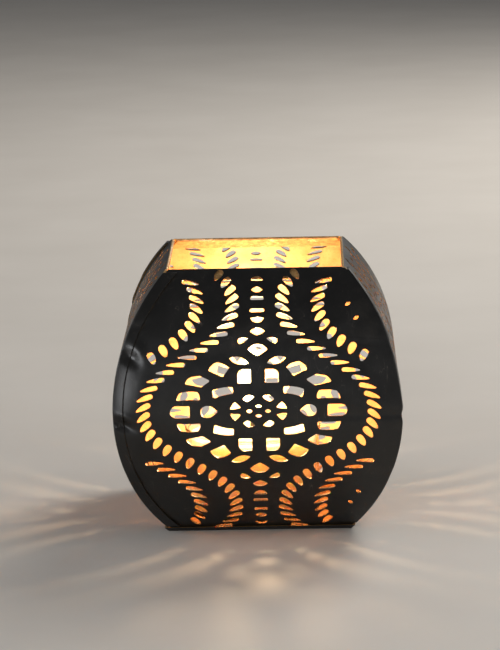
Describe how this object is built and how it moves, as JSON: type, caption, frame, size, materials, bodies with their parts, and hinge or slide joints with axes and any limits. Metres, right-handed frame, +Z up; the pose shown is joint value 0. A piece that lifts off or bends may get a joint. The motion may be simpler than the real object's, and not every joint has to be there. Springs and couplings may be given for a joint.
{
  "type": "moroccan metal lantern",
  "caption": "Barrel-shaped pierced sheet-metal tealight lantern with an open square mouth, lapped corner seams and a lift-out tealight.",
  "frame": {"origin": "centre of the base plate's underside, on the table", "axes": "+Z up; the front panel faces -Y and +X is to its right"},
  "size_m": [0.0812, 0.0812, 0.075],
  "materials": {
    "black_paint": "satin black paint outside, gold lacquer inside",
    "clear_cup": "thin clear moulded cup",
    "wax": "translucent cream paraffin wax",
    "wick_cotton": "braided cotton, charred at the tip",
    "tinned_steel": "plain tinned"
  },
  "bodies": {
    "lantern": {"front_panel": "black_paint", "right_panel": "black_paint", "back_panel": "black_paint", "left_panel": "black_paint", "base_plate": "black_paint"},
    "tealight": {"tealight_cup": "clear_cup"},
    "candle": {"wax": "wax", "wick": "wick_cotton", "wick_sustainer": "tinned_steel"}
  },
  "joints": [
    {"name": "tealight_lift", "type": "slide", "parent": "lantern", "child": "tealight", "axis": [0, 0, 1], "range_m": [0, 0.09]},
    {"name": "candle_pull", "type": "slide", "parent": "tealight", "child": "candle", "axis": [0, 0, 1], "range_m": [0, 0.028]}
  ]
}
